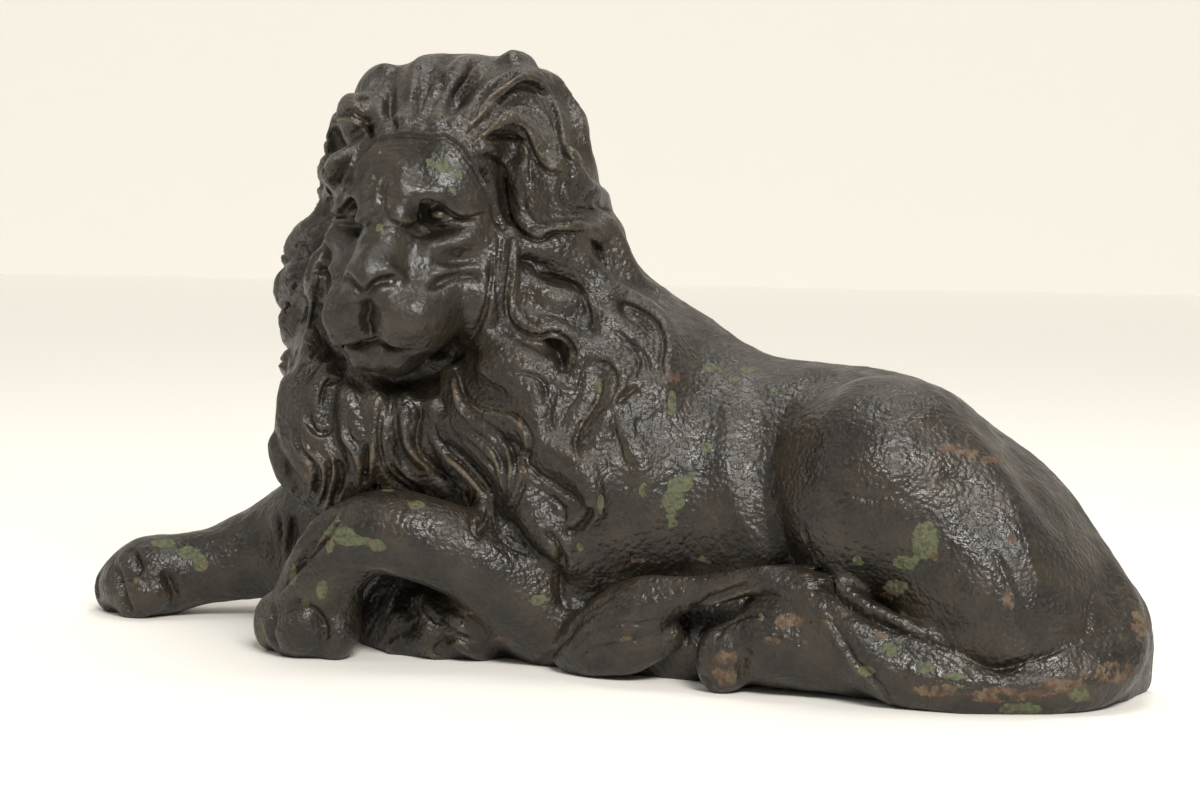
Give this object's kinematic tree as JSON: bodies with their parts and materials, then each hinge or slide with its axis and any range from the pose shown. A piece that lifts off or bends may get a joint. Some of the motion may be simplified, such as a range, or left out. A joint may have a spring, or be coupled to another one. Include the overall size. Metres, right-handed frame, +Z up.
{
  "type": "lion doorstop",
  "caption": "Cast iron doorstop: a lion lying down with its head turned outwards, its tail curled along its flank, flat behind and below.",
  "frame": {"origin": "middle of the bounding box of the underside, on the surface that the doorstop stands on", "axes": "+X along the lion from its forepaws to its rump, +Y to the flat back, +Z up"},
  "size_m": [0.403, 0.102, 0.215],
  "materials": {
    "painted_iron": "thick black paint, semi-gloss, chipped through to old green paint and red-brown rust"
  },
  "bodies": {
    "root": {"lion": "painted_iron"}
  },
  "joints": []
}
